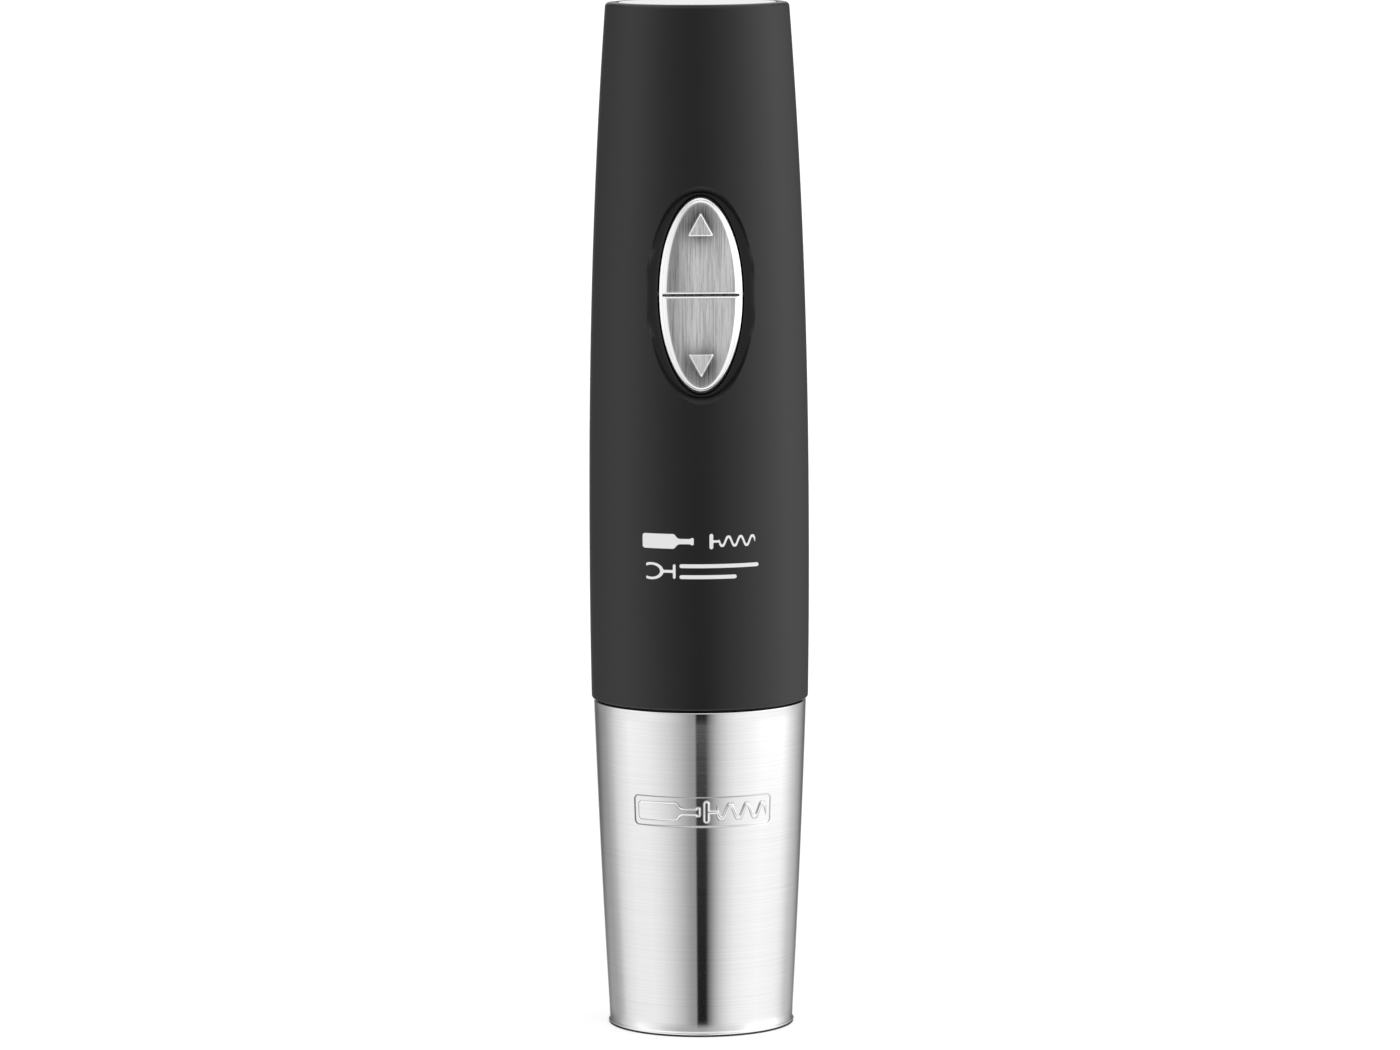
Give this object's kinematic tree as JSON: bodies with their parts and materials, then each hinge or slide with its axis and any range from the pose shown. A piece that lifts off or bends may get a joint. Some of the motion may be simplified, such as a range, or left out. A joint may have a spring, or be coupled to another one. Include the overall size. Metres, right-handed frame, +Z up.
{
  "type": "electric wine opener",
  "caption": "Upright cordless wine opener: barrel handle with a rocker button over a tapered steel collar that hides a motor-driven worm.",
  "frame": {"origin": "centre of the underside of the mouth ring, on the axis of the barrel", "axes": "+Z up the barrel, -Y out of the button side, +X to the right as seen from the button side"},
  "size_m": [0.0568, 0.0568, 0.265],
  "materials": {
    "soft_black": "soft-touch black coating on moulded shells",
    "dark_plastic": "moulded black plastic",
    "white_nylon": "natural nylon gears",
    "brushed_steel": "stainless steel with a fine brushed grain",
    "polished_steel": "polished steel wire",
    "gear_steel": "plain machined steel",
    "magnet_grey": "sintered ferrite",
    "copper": "enamelled copper",
    "contact_brass": "plated brass contacts",
    "board_green": "green printed circuit board",
    "cell_wrap": "rechargeable cells in a green sleeve",
    "lead_red": "insulated wire"
  },
  "bodies": {
    "handle": {"battery_cell_1": "cell_wrap", "battery_cell_2": "cell_wrap", "battery_cell_3": "cell_wrap", "battery_cell_4": "cell_wrap", "battery_tray": "dark_plastic", "cell_link_lower_left": "gear_steel", "cell_link_lower_right": "gear_steel", "cell_link_upper": "gear_steel", "chamber_tube": "dark_plastic", "charge_contact_left": "contact_brass", "charge_contact_right": "contact_brass", "charge_lead_left": "lead_red", "charge_lead_right": "lead_red", "end_cap": "brushed_steel", "front_shell": "soft_black", "gearbox_nose_plate": "gear_steel", "motor_can": "gear_steel", "motor_end_bell": "dark_plastic", "motor_magnet_left": "magnet_grey", "motor_magnet_right": "magnet_grey", "motor_mount_plate": "gear_steel", "motor_screw_left": "gear_steel", "motor_screw_right": "gear_steel", "motor_terminal_left": "contact_brass", "motor_terminal_right": "contact_brass", "mouth_ring": "dark_plastic", "rear_shell": "soft_black", "ring_gear_housing": "dark_plastic", "rocker_pivot_pin": "gear_steel", "rocker_spring_lower": "polished_steel", "rocker_spring_upper": "polished_steel", "shell_screw_1": "gear_steel", "shell_screw_2": "gear_steel", "shell_screw_3": "gear_steel", "shell_screw_4": "gear_steel", "steel_collar": "brushed_steel", "switch_board": "board_green", "switch_lower": "dark_plastic", "switch_upper": "dark_plastic"},
    "output_spindle": {"output_carrier": "gear_steel", "worm_hub": "dark_plastic", "worm": "polished_steel"},
    "second_carrier": {"second_carrier": "gear_steel"},
    "first_carrier": {"first_carrier": "gear_steel"},
    "rotor": {"motor_shaft": "gear_steel", "sun_pinion": "contact_brass", "rotor_core": "gear_steel", "rotor_windings": "copper", "commutator": "copper"},
    "rocker": {"rocker_plate": "brushed_steel", "rocker_carrier": "dark_plastic"},
    "planet_1a_gear": {"planet_1a": "white_nylon"},
    "planet_1b_gear": {"planet_1b": "white_nylon"},
    "planet_1c_gear": {"planet_1c": "white_nylon"},
    "planet_2a_gear": {"planet_2a": "white_nylon"},
    "planet_2b_gear": {"planet_2b": "white_nylon"},
    "planet_2c_gear": {"planet_2c": "white_nylon"},
    "planet_3a_gear": {"planet_3a": "white_nylon"},
    "planet_3b_gear": {"planet_3b": "white_nylon"},
    "planet_3c_gear": {"planet_3c": "white_nylon"}
  },
  "joints": [
    {"name": "worm_spin", "type": "hinge", "parent": "handle", "child": "output_spindle", "pos_m": [0, 0, 0.09], "axis": [0, 0, 1], "continuous": true},
    {"name": "second_carrier_spin", "type": "hinge", "parent": "handle", "child": "second_carrier", "pos_m": [0, 0, 0.1], "axis": [0, 0, 1], "continuous": true},
    {"name": "first_carrier_spin", "type": "hinge", "parent": "handle", "child": "first_carrier", "pos_m": [0, 0, 0.11], "axis": [0, 0, 1], "continuous": true},
    {"name": "rotor_spin", "type": "hinge", "parent": "handle", "child": "rotor", "pos_m": [0, 0, 0.14], "axis": [0, 0, 1], "continuous": true},
    {"name": "planet_3a_spin", "type": "hinge", "parent": "output_spindle", "child": "planet_3a_gear", "pos_m": [0, 0.0096, 0.0917], "axis": [0, 0, 1], "continuous": true},
    {"name": "planet_3b_spin", "type": "hinge", "parent": "output_spindle", "child": "planet_3b_gear", "pos_m": [-0.00831, -0.0048, 0.0917], "axis": [0, 0, 1], "continuous": true},
    {"name": "planet_3c_spin", "type": "hinge", "parent": "output_spindle", "child": "planet_3c_gear", "pos_m": [0.00831, -0.0048, 0.0917], "axis": [0, 0, 1], "continuous": true},
    {"name": "planet_2a_spin", "type": "hinge", "parent": "second_carrier", "child": "planet_2a_gear", "pos_m": [0, 0.0096, 0.1019], "axis": [0, 0, 1], "continuous": true},
    {"name": "planet_2b_spin", "type": "hinge", "parent": "second_carrier", "child": "planet_2b_gear", "pos_m": [-0.00831, -0.0048, 0.1019], "axis": [0, 0, 1], "continuous": true},
    {"name": "planet_2c_spin", "type": "hinge", "parent": "second_carrier", "child": "planet_2c_gear", "pos_m": [0.00831, -0.0048, 0.1019], "axis": [0, 0, 1], "continuous": true},
    {"name": "planet_1a_spin", "type": "hinge", "parent": "first_carrier", "child": "planet_1a_gear", "pos_m": [0, 0.0096, 0.1121], "axis": [0, 0, 1], "continuous": true},
    {"name": "planet_1b_spin", "type": "hinge", "parent": "first_carrier", "child": "planet_1b_gear", "pos_m": [-0.00831, -0.0048, 0.1121], "axis": [0, 0, 1], "continuous": true},
    {"name": "planet_1c_spin", "type": "hinge", "parent": "first_carrier", "child": "planet_1c_gear", "pos_m": [0.00831, -0.0048, 0.1121], "axis": [0, 0, 1], "continuous": true},
    {"name": "rocker_tilt", "type": "hinge", "parent": "handle", "child": "rocker", "pos_m": [0, -0.0198, 0.19117], "axis": [1, 0, 0], "range_deg": [-2.5, 2.5], "stiffness_Nm_per_rad": 0.7, "deforming": ["rocker_spring_upper", "rocker_spring_lower"]}
  ],
  "couplings": [
    {"joint": "second_carrier_spin", "follows": "worm_spin", "ratio": 4},
    {"joint": "first_carrier_spin", "follows": "worm_spin", "ratio": 16},
    {"joint": "rotor_spin", "follows": "worm_spin", "ratio": 64},
    {"joint": "planet_3a_spin", "follows": "worm_spin", "ratio": -3},
    {"joint": "planet_3b_spin", "follows": "worm_spin", "ratio": -3},
    {"joint": "planet_3c_spin", "follows": "worm_spin", "ratio": -3},
    {"joint": "planet_2a_spin", "follows": "worm_spin", "ratio": -12},
    {"joint": "planet_2b_spin", "follows": "worm_spin", "ratio": -12},
    {"joint": "planet_2c_spin", "follows": "worm_spin", "ratio": -12},
    {"joint": "planet_1a_spin", "follows": "worm_spin", "ratio": -48},
    {"joint": "planet_1b_spin", "follows": "worm_spin", "ratio": -48},
    {"joint": "planet_1c_spin", "follows": "worm_spin", "ratio": -48}
  ]
}
